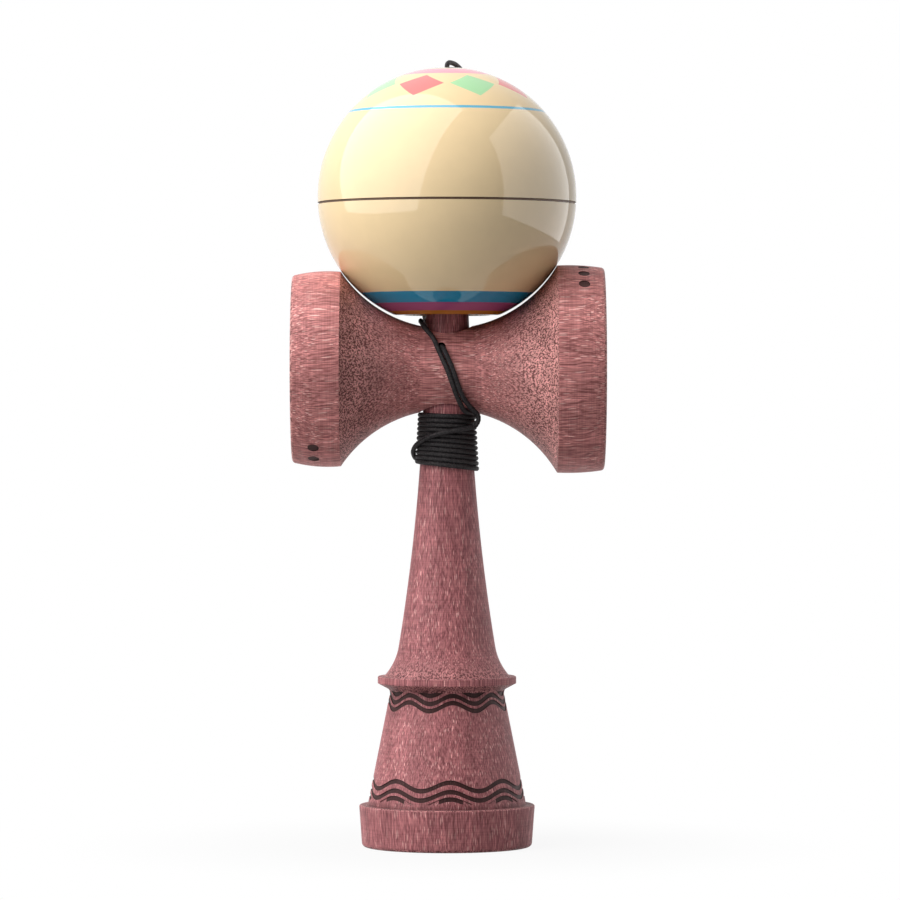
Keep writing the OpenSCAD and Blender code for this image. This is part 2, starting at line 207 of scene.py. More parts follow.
def tama_outline():
    """The ball's section as a closed line, with the name of the finish after each point."""
    groove_z = TAMA_Z - GROOVE_DROP
    top, foot = groove_z + GROOVE_W / 2, groove_z - GROOVE_W / 2
    at = lambda z: math.degrees(math.asin((z - TAMA_Z) / TAMA_R))
    crown_r = CROWN_HOLE_R + CROWN_BEVEL
    crown_z = TAMA_Z + math.sqrt(TAMA_R ** 2 - crown_r ** 2)
    crown = arc((0.0, TAMA_Z), TAMA_R, at(crown_z), at(top), 1.2)
    belly = arc((0.0, TAMA_Z), TAMA_R, at(foot), at(TAMA_FOOT), 1.2)
    deep = TAMA_R - GROOVE_DEPTH
    drill_z = lambda r: TAMA_TOP - CROWN_WALL - r / math.tan(math.radians(DRILL_HALF_ANGLE))
    bevel_r = HOLE_R + BEVEL_W
    hole = [(bevel_r, TAMA_FOOT), (HOLE_R, TAMA_FOOT + BEVEL_W), (HOLE_R, drill_z(HOLE_R)),
            (CROWN_HOLE_R, drill_z(CROWN_HOLE_R)), (CROWN_HOLE_R, crown_z - CROWN_BEVEL)]
    marked = [(p, "lacquer") for p in crown[:-1]] + [(crown[-1], "groove")]
    marked += [((deep, top - GROOVE_W / 5), "groove"), ((deep, foot + GROOVE_W / 5), "groove")]
    marked += [(p, "lacquer") for p in belly]
    marked += [(p, "raw") for p in split(hole, HOLE_STRETCH)]
    return marked


# Meshes

def new_object(name, points, faces, materials, indices=None):
    """An object at the frame's origin, from points in millimetres."""
    mesh = bpy.data.meshes.new(name)
    mesh.from_pydata((np.asarray(points, float) * MM).tolist(), [], faces)
    for material in materials:
        mesh.materials.append(material)
    if indices is not None:
        mesh.polygons.foreach_set("material_index", np.asarray(indices, np.int32))
    mesh.validate()
    made = bpy.data.objects.new(name, mesh)
    bpy.context.scene.collection.objects.link(made)
    return made


def smooth(obj, sharp=35.0):
    obj.data.shade_smooth()
    obj.data.set_sharp_from_angle(angle=math.radians(sharp))
    return obj


def turn(radii, heights, columns):
    """Points of turned rows: each row has a radius and a height, or one of each at every column."""
    angles = np.radians(FRONT + np.arange(columns) * 360.0 / columns)
    out = []
    for r, z in zip(radii, heights):
        r, z = np.broadcast_to(r, columns), np.broadcast_to(z, columns)
        out.append(np.stack([r * np.cos(angles), r * np.sin(angles), z], 1))
    return np.concatenate(out)


def band_faces(rows, columns, closed):
    """Quads between the rows, row by row, facing outwards where the rows run upwards."""
    faces = []
    for i in range(rows if closed else rows - 1):
        a, b = i * columns, (i + 1) % rows * columns
        for k in range(columns):
            n = (k + 1) % columns
            faces.append((a + k, a + n, b + n, b + k))
    return faces


def lathe(name, outline, columns, materials, indices=None, closed=False, flip=False):
    """A turned solid round the Z axis. A line that starts and ends on the axis closes there."""
    radii, heights = zip(*outline)
    points = turn(radii, heights, columns)
    faces = band_faces(len(outline), columns, closed)
    finishes = None if indices is None else np.repeat(indices, columns).tolist()
    if not closed:
        faces.append(tuple(range(columns))[::-1])
        faces.append(tuple(range(len(points) - columns, len(points))))
        if finishes is not None:
            finishes += [indices[0], indices[-1]]
    if flip:
        faces = [f[::-1] for f in faces]
    return new_object(name, points, faces, materials, finishes)


def joined(name, shells, material):
    """One object from several closed shells, each with its points and faces."""
    points, faces = [], []
    for shell_points, shell_faces in shells:
        faces += [tuple(i + len(points) for i in f) for f in shell_faces]
        points += [tuple(p) for p in shell_points]
    return new_object(name, points, faces, [material])


def rod(start, end, radius, sides=48):
    """Points and faces of a closed round rod between two points."""
    start, end = Vector(start), Vector(end)
    line = (end - start).normalized()
    across = line.orthogonal().normalized()
    other = line.cross(across)
    rings = []
    for centre in (start, end):
        for k in range(sides):
            a = 2 * math.pi * k / sides
            rings.append(centre + radius * (across * math.cos(a) + other * math.sin(a)))
    faces = [(k, (k + 1) % sides, sides + (k + 1) % sides, sides + k) for k in range(sides)]
    return rings, faces + [tuple(range(sides))[::-1], tuple(range(sides, 2 * sides))]


def cut(obj, cutters):
    """Cuts the shapes out of obj. The cut faces take the cutters' finish."""
    for cutter in cutters:
        step = obj.modifiers.new("cut", "BOOLEAN")
        step.object = cutter
        step.operation = "DIFFERENCE"
        step.solver = "EXACT"
        step.material_mode = "TRANSFER"
    bpy.context.view_layer.update()
    done = obj.evaluated_get(bpy.context.evaluated_depsgraph_get())
    mesh = bpy.data.meshes.new_from_object(done)
    obj.modifiers.clear()
    obj.data = mesh
    for cutter in cutters:
        bpy.data.objects.remove(cutter)
    return obj


# Finishes

# Distance over which the grain sways from side to side, in millimetres
SWAY_LENGTH = 11.0


class Finish:
    """A procedural material, with short calls for the nodes it is made of."""

    def __init__(self, name):
        self.material = bpy.data.materials.new(name)
        self.material.use_nodes = True
        self.tree = self.material.node_tree
        self.tree.nodes.clear()

    def add(self, kind, inputs, output=0, **settings):
        made = self.tree.nodes.new(kind)
        for key, value in settings.items():
            setattr(made, key, value)
        for key, value in inputs.items():
            if isinstance(value, bpy.types.NodeSocket):
                self.tree.links.new(value, made.inputs[key])
            else:
                made.inputs[key].default_value = value
        return made.outputs[output]

    def swayed(self, at, reach):
        """The point, moved aside by a slow noise, by at most so many millimetres."""
        slow = self.add("ShaderNodeTexNoise",
                        {"Vector": at, "Scale": 1 / (SWAY_LENGTH * MM), "Detail": 1.0}, 1)
        drift = self.add("ShaderNodeVectorMath", {0: slow, 1: [0.5] * 3}, operation="SUBTRACT")
        return self.add("ShaderNodeVectorMath", {0: drift, 1: [2 * reach * MM] * 3, 2: at},
                        operation="MULTIPLY_ADD")

    def place(self, *per_mm, sway=0.0):
        """The point on the piece, in its own frame, swayed and then scaled along each axis."""
        at = self.add("ShaderNodeTexCoord", {}, "Object")
        if sway:
            at = self.swayed(at, sway)
        scale = [s / MM for s in per_mm]
        return self.add("ShaderNodeVectorMath", {0: at, 1: scale}, operation="MULTIPLY")

    def axes(self, vector):
        split_node = self.add("ShaderNodeSeparateXYZ", {"Vector": vector}).node
        return split_node.outputs[:]

    def math(self, operation, *values):
        return self.add("ShaderNodeMath", dict(enumerate(values)), operation=operation)

    def noise(self, place, detail=2.0, rough=0.5):
        return self.add("ShaderNodeTexNoise",
                        {"Vector": place, "Scale": 1.0, "Detail": detail, "Roughness": rough})

    def cells(self, place):
        return self.add("ShaderNodeTexVoronoi", {"Vector": place, "Scale": 1.0})

    def ramp(self, value, low, high, start=0.0, end=1.0):
        """From start to end, smoothly, as the value goes from low to high."""
        return self.add("ShaderNodeMapRange",
                        {"Value": value, 1: low, 2: high, 3: start, 4: end},
                        interpolation_type="SMOOTHSTEP")

    def mix(self, share, a, b):
        paint = lambda c: c if isinstance(c, bpy.types.NodeSocket) else (*c, 1.0)
        return self.add("ShaderNodeMix", {0: share, 6: paint(a), 7: paint(b)}, 2, data_type="RGBA")

    def bump(self, height, depth_mm):
        return self.add("ShaderNodeBump", {"Height": height, "Distance": depth_mm * MM, "Strength": 1.0})

    def done(self, **shader):
        """Ends in one surface shader, with its sockets by name."""
        sockets = {key.replace("_", " "): value for key, value in shader.items()}
        return self.surface(self.add("ShaderNodeBsdfPrincipled", sockets))

    def surface(self, shader):
        out = self.tree.nodes.new("ShaderNodeOutputMaterial")
        self.tree.links.new(shader, out.inputs["Surface"])
        return self.material


# Width across the grain and length along it of the wood's marks, in millimetres
BANDS, FIBRES, STREAKS, TURNING = (4.0, 80.0), (0.22, 6.0), (0.7, 18.0), (14.0, 0.2)
FLECKS, PORES, VESSELS = (0.42, 6.0), (0.44, 2.4), (0.36, 1.2)
# Reach of the painted shade in the wood's corners and hollows, depth of the grain's bumps, and how far the
# grain sways aside, in millimetres
PAINTED_SHADE_REACH, GRAIN_DEPTH = 8.0, 0.02
KEN_SWAY, SARADO_SWAY = 0.35, 1.1

KEN_TONES = {"dark": (0.22, 0.072, 0.080), "middle": (0.49, 0.187, 0.194), "light": (0.82, 0.46, 0.43)}
SARADO_TONES = {"dark": (0.27, 0.094, 0.093), "middle": (0.62, 0.256, 0.244), "light": (0.92, 0.60, 0.54)}
PALE_TONES = {"dark": (0.52, 0.34, 0.17), "middle": (0.66, 0.47, 0.26), "light": (0.78, 0.62, 0.40)}
CHAR, CHAR_SHARE = (0.022, 0.011, 0.010), 0.92


def along(axis, across, length):
    """A scale for cells that are so wide across the grain and so long along it, in millimetres."""
    return [1.0 / length if axis == k else 1.0 / across for k in "XYZ"]


def tinted(colour, share):
    return [c * share for c in colour]


def side_grain(f, grain, sway, tones, bands, fibres, pores):
    """Fibres from dark to middle, light flecks that gather in the bands, and dark pores."""
    flecks = f.ramp(f.cells(f.place(*along(grain, *FLECKS), sway=sway)), 0.16, 0.27, 1.0, 0.0)
    colour = f.mix(f.ramp(fibres, 0.36, 0.64), tones["dark"], tones["middle"])
    gathered = f.math("MULTIPLY", flecks, f.ramp(bands, 0.35, 0.65, 0.5, 0.95))
    colour = f.mix(gathered, colour, tones["light"])
    return f.mix(f.math("MULTIPLY", pores, 0.6), colour, tinted(tones["dark"], 0.5))


def end_grain(f, grain, tones, colour):
    """The colour, with dark vessels on a plain ground where the surface is cut across the grain."""
    facing = f.axes(f.add("ShaderNodeTexCoord", {}, "Normal"))["XYZ".index(grain)]
    end = f.ramp(f.math("ABSOLUTE", facing), 0.25, 0.75)
    vessels = f.ramp(f.noise(f.place(*along(grain, *VESSELS)), 1.0), 0.42, 0.56)
    ground = f.mix(0.22, tones["middle"], tones["light"])
    cut_across = f.mix(vessels, tinted(tones["dark"], 0.30), ground)
    return f.mix(f.math("MULTIPLY", end, 0.85), colour, cut_across)


def tone_and_painted_shade(f, grain, sway, bands):
    """Lighter and darker bands, streaks and turning lines, with painted shade that darkens corners and
    hollows.
    """
    turning = f.noise(f.place(*along(grain, *TURNING)), 1.0)
    streaks = f.noise(f.place(*along(grain, *STREAKS), sway=sway), 2.0, 0.6)
    lines = f.ramp(turning, 0.3, 0.7, -0.10, 0.10)
    shade = f.math("ADD", f.ramp(bands, 0.3, 0.7, 0.88, 1.12), lines)
    shade = f.math("MULTIPLY", shade, f.ramp(streaks, 0.36, 0.60, 0.84, 1.08))
    # Painted shade: an occlusion mask darkens the wood's colour in its own corners and hollows, such as
    # under the collar.
    painted_corner_shade = f.add("ShaderNodeAmbientOcclusion", {"Distance": PAINTED_SHADE_REACH * MM}, "AO", only_local=True)
    return f.math("MULTIPLY", shade, f.ramp(painted_corner_shade, 0.45, 1.0, 0.32, 1.04))


def wood(name, grain, sway, tones, burnt=False):
    """Sanded hardwood with its grain along one axis. Burnt wood is nearly black."""
    f = Finish(name)
    bands = f.noise(f.place(*along(grain, *BANDS)), 3.0)
    fibres = f.noise(f.place(*along(grain, *FIBRES), sway=sway), 2.0, 0.6)
    pores = f.ramp(f.cells(f.place(*along(grain, *PORES))), 0.12, 0.25, 1.0, 0.0)
    colour = end_grain(f, grain, tones, side_grain(f, grain, sway, tones, bands, fibres, pores))
    # The grain's tone, times painted shade in corners and hollows
    shade = tone_and_painted_shade(f, grain, sway, bands)
    colour = f.add("ShaderNodeMix", {0: 1.0, 6: colour, 7: shade}, 2,
                   data_type="RGBA", blend_type="MULTIPLY")
    if burnt:
        colour = f.mix(CHAR_SHARE, colour, CHAR)
    height = f.math("SUBTRACT", f.math("MULTIPLY", fibres, 0.5), pores)
    return f.done(Base_Color=colour, Roughness=f.ramp(fibres, 0.2, 0.8, 0.42, 0.56),
                  Normal=f.bump(height, GRAIN_DEPTH), IOR=1.45, Specular_IOR_Level=0.1 if burnt else 0.13)


ken_wood = wood("ken_wood", "Z", KEN_SWAY, KEN_TONES)
sarado_wood = wood("sarado_wood", "X", SARADO_SWAY, SARADO_TONES)
ken_burnt = wood("ken_burnt", "Z", KEN_SWAY, KEN_TONES, burnt=True)
sarado_burnt = wood("sarado_burnt", "X", SARADO_SWAY, SARADO_TONES, burnt=True)
pale_wood = wood("pale_wood", "Z", KEN_SWAY, PALE_TONES)

CREAM = (0.82, 0.62, 0.35)
STRIPES = [(5.1, (0.010, 0.25, 0.42)), (2.65, (0.36, 0.075, 0.19)), (0.85, (0.45, 0.16, 0.015))]
STRIPE_EDGE, STRIPE_WANDER = 0.06, 0.12
GROOVE_BROWN = (0.10, 0.055, 0.03)

# The crown's pattern, by distance from the ball's axis
DIAMONDS, DIAMOND_R, DIAMOND_HALF_W, DIAMOND_HALF_H = 8, 16.0, 5.6, 4.0
DIAMOND_PAINTS = (0.36, 0.66, 0.34), (0.80, 0.20, 0.19)
RINGS = [(22.4, 22.9, (0.10, 0.42, 0.60)), (6.5, 10.8, (0.80, 0.30, 0.38)),
         (4.6, 5.4, (0.30, 0.60, 0.80))]
RING_EDGE = 0.05
PATTERN_FOOT, PATTERN_FULL = 2, 3


def off_axis(f, x, y):
    """Distance from the Z axis."""
    return f.math("SQRT", f.math("ADD", f.math("MULTIPLY", x, x), f.math("MULTIPLY", y, y)))


def crown_pattern(f, colour):
    """Painted over the colour: a ring of diamonds in two colours, between thin rings."""
    x, y, z = f.axes(f.place(1.0, 1.0, 1.0))
    out = off_axis(f, x, y)
    upper = f.ramp(z, TAMA_Z + PATTERN_FOOT, TAMA_Z + PATTERN_FULL)
    turns = f.math("MULTIPLY", f.math("ARCTAN2", y, x), DIAMONDS / (2 * math.pi))
    across = f.math("ABSOLUTE", f.math("SUBTRACT", f.math("FRACT", turns), 0.5))
    across = f.math("MULTIPLY", across, 2 * math.pi * DIAMOND_R / DIAMONDS / DIAMOND_HALF_W)
    rise = f.math("ABSOLUTE", f.math("DIVIDE", f.math("SUBTRACT", out, DIAMOND_R), DIAMOND_HALF_H))
    inside = f.ramp(f.math("ADD", across, rise), 0.98, 1.02, 1.0, 0.0)
    odd = f.math("FLOORED_MODULO", f.math("FLOOR", turns), 2.0)
    colour = f.mix(f.math("MULTIPLY", inside, upper), colour, f.mix(odd, *DIAMOND_PAINTS))
    for inner, outer, paint in RINGS:
        past = f.ramp(out, inner - RING_EDGE, inner + RING_EDGE)
        before = f.ramp(out, outer - RING_EDGE, outer + RING_EDGE, 1.0, 0.0)
        colour = f.mix(f.math("MULTIPLY", f.math("MULTIPLY", past, before), upper), colour, paint)
    return colour


def lacquer():
    """Cream gloss paint, with three painted stripes above the flat and a pattern round the crown."""
    f = Finish("tama_lacquer")
    height = f.axes(f.place(1.0, 1.0, 1.0))[2]
    speckle = f.noise(f.place(0.25, 0.25, 0.25), 2.0)
    colour = f.mix(f.ramp(speckle, 0.3, 0.7), tinted(CREAM, 0.99), tinted(CREAM, 1.01))
    wander = f.math("MULTIPLY", f.math("SUBTRACT", speckle, 0.5), STRIPE_WANDER)
    level = f.math("ADD", height, wander)
    for top, paint in STRIPES:
        edge = TAMA_FOOT + top
        colour = f.mix(f.ramp(level, edge - STRIPE_EDGE, edge + STRIPE_EDGE, 1.0, 0.0), colour, paint)
    return f.done(Base_Color=crown_pattern(f, colour), Roughness=f.ramp(speckle, 0.3, 0.7, 0.40, 0.46),
                  Normal=f.bump(f.noise(f.place(0.6, 0.6, 0.6), 1.0), 0.002), IOR=1.45,
                  Specular_IOR_Level=0.0, Coat_Weight=1.0, Coat_Roughness=0.012, Coat_IOR=1.5)


def groove_paint():
    f = Finish("groove_paint")
    speckle = f.noise(f.place(1.5, 1.5, 1.5), 2.0)
    colour = f.mix(speckle, tinted(GROOVE_BROWN, 0.7), tinted(GROOVE_BROWN, 1.4))
    return f.done(Base_Color=colour, Roughness=f.ramp(speckle, 0.3, 0.7, 0.5, 0.65), IOR=1.45)


def braid():
    """Black nylon, lighter and darker in small random specks."""
    f = Finish("string_braid")
    speckle = f.noise(f.place(3.0, 3.0, 3.0), 2.0)
    colour = f.mix(f.ramp(speckle, 0.35, 0.7), (0.006, 0.005, 0.006), (0.042, 0.037, 0.038))
    return f.done(Base_Color=colour, Roughness=f.ramp(speckle, 0.3, 0.7, 0.5, 0.7), IOR=1.45,
                  Specular_IOR_Level=0.2)


# The handle, with its engraved wave lines

WAVES = 8
LINE_W, LINE_DEPTH, LINE_WALL = 1.05, 0.2, 0.06
ROW_GAP, ROW_STEP, ROW_MARGIN, LINE_CLEAR = 0.02, 0.6, 0.1, 0.15
LOWER = {"lines": [14.93, 12.82, 11.15], "height": 1.0, "crest": 2.5, "full": 16.0, "none": 24.0}
UPPER = {"lines": [32.93, 34.56, 36.4], "height": 0.93, "crest": 5.6, "full": 31.8, "none": 24.0}
LOWEST_MARK = 11.05


def ripple(z, band, angles):
    """How far a row at that height is moved up and down by the waves of one band."""
    share = np.clip((z - band["none"]) / (band["full"] - band["none"]), 0, 1)
    return band["height"] * share * np.cos(WAVES * (angles - math.radians(band["crest"])))


def wave_rows():
    """Heights, depths and marks of the skirt's rows. A marked row starts a burnt strip."""
    rows = [(z, 0.0, False) for z in np.arange(BASE_H + ROW_MARGIN, NECK_TOP - ROW_MARGIN, ROW_STEP)]
    for z in LOWER["lines"] + UPPER["lines"]:
        half = LINE_W / 2
        rows = [row for row in rows if abs(row[0] - z) > half + LINE_CLEAR]
        rows += [(z - half, 0.0, True), (z - half + LINE_WALL, LINE_DEPTH, True),
                 (z + half - LINE_WALL, LINE_DEPTH, True), (z + half, 0.0, False)]
    return sorted(rows)


def skirt_mesh_rows():
    """Radius and height at every column for each row, and the columns that are burnt above it."""
    angles = 2 * math.pi * np.arange(KEN_COLUMNS) / KEN_COLUMNS
    section = np.array(split(skirt_outline(), SKIRT_STRETCH))
    rows = wave_rows()
    low = BASE_H + ROW_GAP * (1 + np.arange(len(rows)))
    high = NECK_TOP - ROW_GAP * (len(rows) - np.arange(len(rows)))
    out = []
    for i, (z, depth, marked) in enumerate(rows):
        heights = z + ripple(z, LOWER, angles) + ripple(z, UPPER, angles)
        free = (heights > max(low[i], LOWEST_MARK)) & (heights < high[i])
        heights = np.clip(heights, low[i], high[i])
        radii = np.interp(heights, section[:, 1], section[:, 0]) - depth * free
        out.append((radii, heights, free & marked))
    return out


def ken_mesh():
    plain = np.zeros(KEN_COLUMNS, bool)
    base = [(r, z, plain) for r, z in split(base_outline(), KEN_STRETCH) + [(SKIRT_R, BASE_H)]]
    under_collar = [(r, z) for r, z in split(skirt_outline(), SKIRT_STRETCH) if z > NECK_TOP]
    top = [(r, z, plain) for r, z in under_collar + split(shaft_outline(), KEN_STRETCH)]
    rows = base + skirt_mesh_rows() + top
    radii = [np.maximum(r, AXIS_R) for r, _, _ in rows]
    points = turn(radii, [z for _, z, _ in rows], KEN_COLUMNS)
    faces = band_faces(len(rows), KEN_COLUMNS, False)
    burnt = np.concatenate([mark for _, _, mark in rows[:-1]]).astype(int).tolist()
    faces += [tuple(range(KEN_COLUMNS))[::-1], tuple(range(len(points) - KEN_COLUMNS, len(points)))]
    made = new_object("ken_body", points, faces, [ken_wood, ken_burnt], burnt + [0, 0])
    pocket = rod((POCKET_X, 0, STRING_HOLE_Z), (POCKET_X, -2 * SPIKE_R, STRING_HOLE_Z), POCKET_R)
    return smooth(cut(made, [joined("pocket", [pocket], ken_wood)]))


# The cross piece, with its burnt dots

DOT_R, DOT_DEPTH, DOT_OVERRUN = 1.33, 0.3, 1.0
BORE_OVERRUN = 3.0
BIG_DOTS = {"x": 31.4, "turns": [54.0, 66.0, 78.0], "r": BIG_CUP["r"]}
SMALL_DOTS = {"x": -30.6, "turns": [-54.0, -67.0], "r": SMALL_CUP["r"]}


def dot_rods(dots):
    """Short rods that stand in the rim at each dot, by their angle above the front."""
    rods = []
    for angle in dots["turns"]:
        out = (-math.cos(math.radians(angle)), math.sin(math.radians(angle)))
        inner, outer = dots["r"] - DOT_DEPTH, dots["r"] + DOT_OVERRUN
        ends = [(dots["x"], r * out[0], SARADO_Z + r * out[1]) for r in (inner, outer)]
        rods.append(rod(*ends, DOT_R))
    return rods


def bore_outline():
    foot_r, top_r = shaft_r(BARREL_FOOT) + TAPER_FIT, SPIKE_R + TAPER_FIT
    lip = MOUTH_FLARE * (1 + BORE_OVERRUN / MOUTH_FLARE_H)
    inner = lambda z: foot_r + (top_r - foot_r) * (z - BARREL_FOOT) / (2 * BARREL_R)
    low, high = BARREL_FOOT + MOUTH_FLARE_H, BARREL_TOP - MOUTH_FLARE_H
    return [(foot_r + lip, BARREL_FOOT - BORE_OVERRUN), (inner(low), low), (inner(high), high),
            (top_r + lip, BARREL_TOP + BORE_OVERRUN)]


def sarado_mesh():
    outline = [(max(r, AXIS_R), x) for r, x in sarado_outline()][::-1]
    made = lathe("sarado_body", outline, SARADO_COLUMNS, [sarado_wood, sarado_burnt])
    points = np.array([v.co for v in made.data.vertices])
    turned = np.stack([points[:, 2], points[:, 1], -points[:, 0]], 1)
    turned[:, 2] += SARADO_Z * MM
    made.data.vertices.foreach_set("co", turned.ravel())
    bore = lathe("bore", bore_outline(), BORE_COLUMNS, [sarado_wood])
    hole = rod((POCKET_X, 0, STRING_HOLE_Z), (POCKET_X, -2 * BARREL_R, STRING_HOLE_Z), STRING_HOLE_R)
    dots = joined("dots", dot_rods(BIG_DOTS) + dot_rods(SMALL_DOTS), sarado_burnt)
    return smooth(cut(made, [bore, joined("hole", [hole], sarado_wood), dots]))


# The ball

def tama_mesh():
    marked = tama_outline()
    finishes = ["lacquer", "groove", "raw"]
    indices = [finishes.index(mark) for _, mark in marked]
    return smooth(lathe("tama_ball", [p for p, _ in marked], TAMA_COLUMNS,
                        [lacquer(), groove_paint(), pale_wood], indices, closed=True, flip=True))


# The string

STRING_D = 1.1
STRING_SIDES, STRING_STEP = 16, 0.14
BRAID_ENDS, BRAID_PITCH, BRAID_RISE = 4, 1.3, 0.08
TURNS, TURN_PITCH, FIRST_TURN_EASE = 11.3, 1.127, 0.3
TURN_START, LAST_TURN_TILT = -30.0, 0.086
TURN_TOP_DROP, TURN_GAP, POINTS_PER_TURN = 0.25, 0.05, 36
KNOT_R, KNOT_FRONT, KNOT_LEAD, KNOT_POINTS = 1.12, -3.4, 2, 28
KNOT_START, KNOT_STOP, KNOT_SPREAD, KNOT_FLATNESS = 0.9, 2 * math.pi - 0.5, 2.2, 1.4
BEAD_KNOT_DROP, CORE_START, CORE_STEP = 1.7, 4.5, 2.0

DROP_ROUTE = [(-6, 0, 1.1), (-6, -1.2, 1.1), (-5.5, -4.3, 0.1), (-4.5, -6.5, -1.3), (-3.2, -8.0, -2.9),
              (-2.2, -9.5, -5.1), (-1.15, -10.35, -7.5), (0.05, -10.7, -10.2), (1.15, -10.2, -13.2),
              (2.15, -9.2, -16.0), (3.1, -7.9, -18.1), (4.0, -6.3, -19.6)]
LEAD_ROUTE = [(6.2, -5.2, -23.3), (6.91, -5.12, -22.56), (7.23, -5.27, -21.6), (7.08, -5.63, -20.65),
              (6.5, -6.1, -19.95), (5.0, -7.65, -18.35), (3.75, -8.95, -16.6), (2.85, -9.8, -14.6),
              (1.95, -10.45, -12.1), (1.0, -10.7, -9.3), (0.0, -10.7, -7.15), (-0.35, -10.53, -6.3),
              (-0.7, -10.08, -5.6), (-1.0, -9.4, -5.16), (-1.18, -8.6, -5.0), (-1.3, -7.2, -5.0)]
CLIMB_ROUTE = [(-0.3, 7.15, -32.6), (-2.1, 7.1, -32.25), (-3.8, 6.6, -31.8), (-5.3, 5.7, -31.3),
               (-7.1, 3.2, -30.7), (-7.75, 0.6, -29.6), (-7.65, -1.4, -28.5), (-6.85, -3.4, -27.35),
               (-4.5, -6.1, -25.8), (-1.3, -7.45, -24.8), (2.0, -7.25, -24.15), (4.4, -6.2, -23.75)]
RISER_ROUTE = [(-6, 0, 1.1), (-6, 1.2, 1.1), (-6, 6, 1.1), (-5, 11.2, 1.4), (-5.3, 14.7, 2.9),
               (-5.7, 20, 6.9), (-5.2, 24.6, 11.7), (-3.4, 28.2, 17.3), (-1.6, 30.4, 23.4),
               (0.5, 31, 29.9), (2.6, 30.3, 36.3), (3.9, 28.1, 42.4), (4.8, 24.6, 48),
               (5, 20.2, 52.9), (4.5, 14.9, 56.7), (3.6, 9.4, 59.2), (2.2, 4.9, 60.5),
               (0.9, 2, 60.9), (0.2, 0.5, 60.6), (0, 0, 59.7), (0, 0, 58.5)]


def placed(route):
    """Points from their heights above the barrel's top."""
    return [(x, y, z + BARREL_TOP) for x, y, z in route]


def winding():
    """The turns round the shaft, from the top one, which starts level, to the last, which is tilted."""
    out = []
    for share in np.linspace(0, 1, int(TURNS * POINTS_PER_TURN)):
        count = TURNS * share
        fallen = count - FIRST_TURN_EASE * (1 - math.exp(-count / FIRST_TURN_EASE))
        level = BARREL_FOOT - TURN_TOP_DROP - TURN_PITCH * fallen
        angle = math.radians(TURN_START + 360 * count)
        r = shaft_r(level) + STRING_D / 2 + TURN_GAP
        x, y = r * math.cos(angle), r * math.sin(angle)
        out.append((x, y, level - LAST_TURN_TILT * share * x))
    return out


def overhand(centre, axis):
    """A small tied knot that ends at its centre, going along the axis."""
    axis = Vector(axis)
    across = axis.orthogonal().normalized()
    other = axis.cross(across)
    out = []
    for t in np.linspace(KNOT_START, KNOT_STOP, KNOT_POINTS):
        u = KNOT_R * (math.sin(t) + 2 * math.sin(2 * t)) / KNOT_SPREAD
        v = KNOT_R * (math.cos(t) - 2 * math.cos(2 * t)) / KNOT_SPREAD
        w = -KNOT_R * math.sin(3 * t) / KNOT_FLATNESS
        out.append(tuple(Vector(centre) + across * u + other * v + axis * w))
    return out


def curve_through(points, step):
    """Evenly spaced points on a smooth curve through the points."""
    p = np.asarray(points, float)
    p = np.vstack([2 * p[0] - p[1], p, 2 * p[-1] - p[-2]])
    fine = []
    for a, b, c, d in zip(p, p[1:], p[2:], p[3:]):
        count = max(4, int(np.linalg.norm(c - b) / step * 2))
        t = np.linspace(0, 1, count, endpoint=False)[:, None]
        fine.append(0.5 * (2 * b + (c - a) * t + (2 * a - 5 * b + 4 * c - d) * t ** 2
                           + (3 * b - a - 3 * c + d) * t ** 3))
    fine = np.vstack(fine + [p[-2:-1]])
    far = np.concatenate([[0], np.cumsum(np.linalg.norm(np.diff(fine, axis=0), axis=1))])
    even = np.linspace(0, far[-1], int(far[-1] / step) + 1)
    return np.stack([np.interp(even, far, fine[:, k]) for k in range(3)], 1), even


def cord(name, points, material):
    """A braided cord along the points. Its strands stand out of it in a woven pattern."""
    path, far = curve_through(points, STRING_STEP)
    lines = np.gradient(path, axis=0)
    lines /= np.linalg.norm(lines, axis=1)[:, None]
    across = np.cross(lines[0], (0.3, 0.5, 0.8))
    around = 2 * math.pi * np.arange(STRING_SIDES) / STRING_SIDES
    rings = []
    for centre, line, s in zip(path, lines, far):
        across = across - line * (across @ line)
        across /= np.linalg.norm(across)
        other = np.cross(line, across)
        lay = 2 * math.pi * s / BRAID_PITCH
        weave = np.cos(BRAID_ENDS * around + lay) * np.cos(BRAID_ENDS * around - lay)
        r = STRING_D / 2 + BRAID_RISE / 2 * weave
        rings.append(centre + r[:, None] * (np.cos(around)[:, None] * across
                                            + np.sin(around)[:, None] * other))
    points = np.concatenate(rings)
    faces = band_faces(len(path), STRING_SIDES, False)
    faces += [tuple(range(STRING_SIDES))[::-1], tuple(range(len(points) - STRING_SIDES, len(points)))]
    made = new_object(name, points, faces, [material])
    made.data.shade_smooth()
    return made, path, far[-1]


def knot(name, centre, axis, body, material):
    made = cord(name, overhand(centre, axis), material)[0]
    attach(made, body)
    return made


def wound_cord(material):
    """From the knot in the handle out of the cross piece, round the shaft and up over the cross piece."""
    tied = (POCKET_X, KNOT_FRONT, STRING_HOLE_Z)
    points = ([tied, (POCKET_X, KNOT_FRONT - KNOT_LEAD, STRING_HOLE_Z)] + placed(LEAD_ROUTE)[::-1]
              + placed(CLIMB_ROUTE)[::-1] + winding()[::-1] + placed(DROP_ROUTE)[::-1])
    made, path, length = cord("string_wound", points, material)
    end = knot("string_first_knot", tied, (0, -1, 0), "ken", material)
    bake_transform(made)
    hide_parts("string_anchor", "string_lead", "string_winding", "string_drop")
    return [made, end]


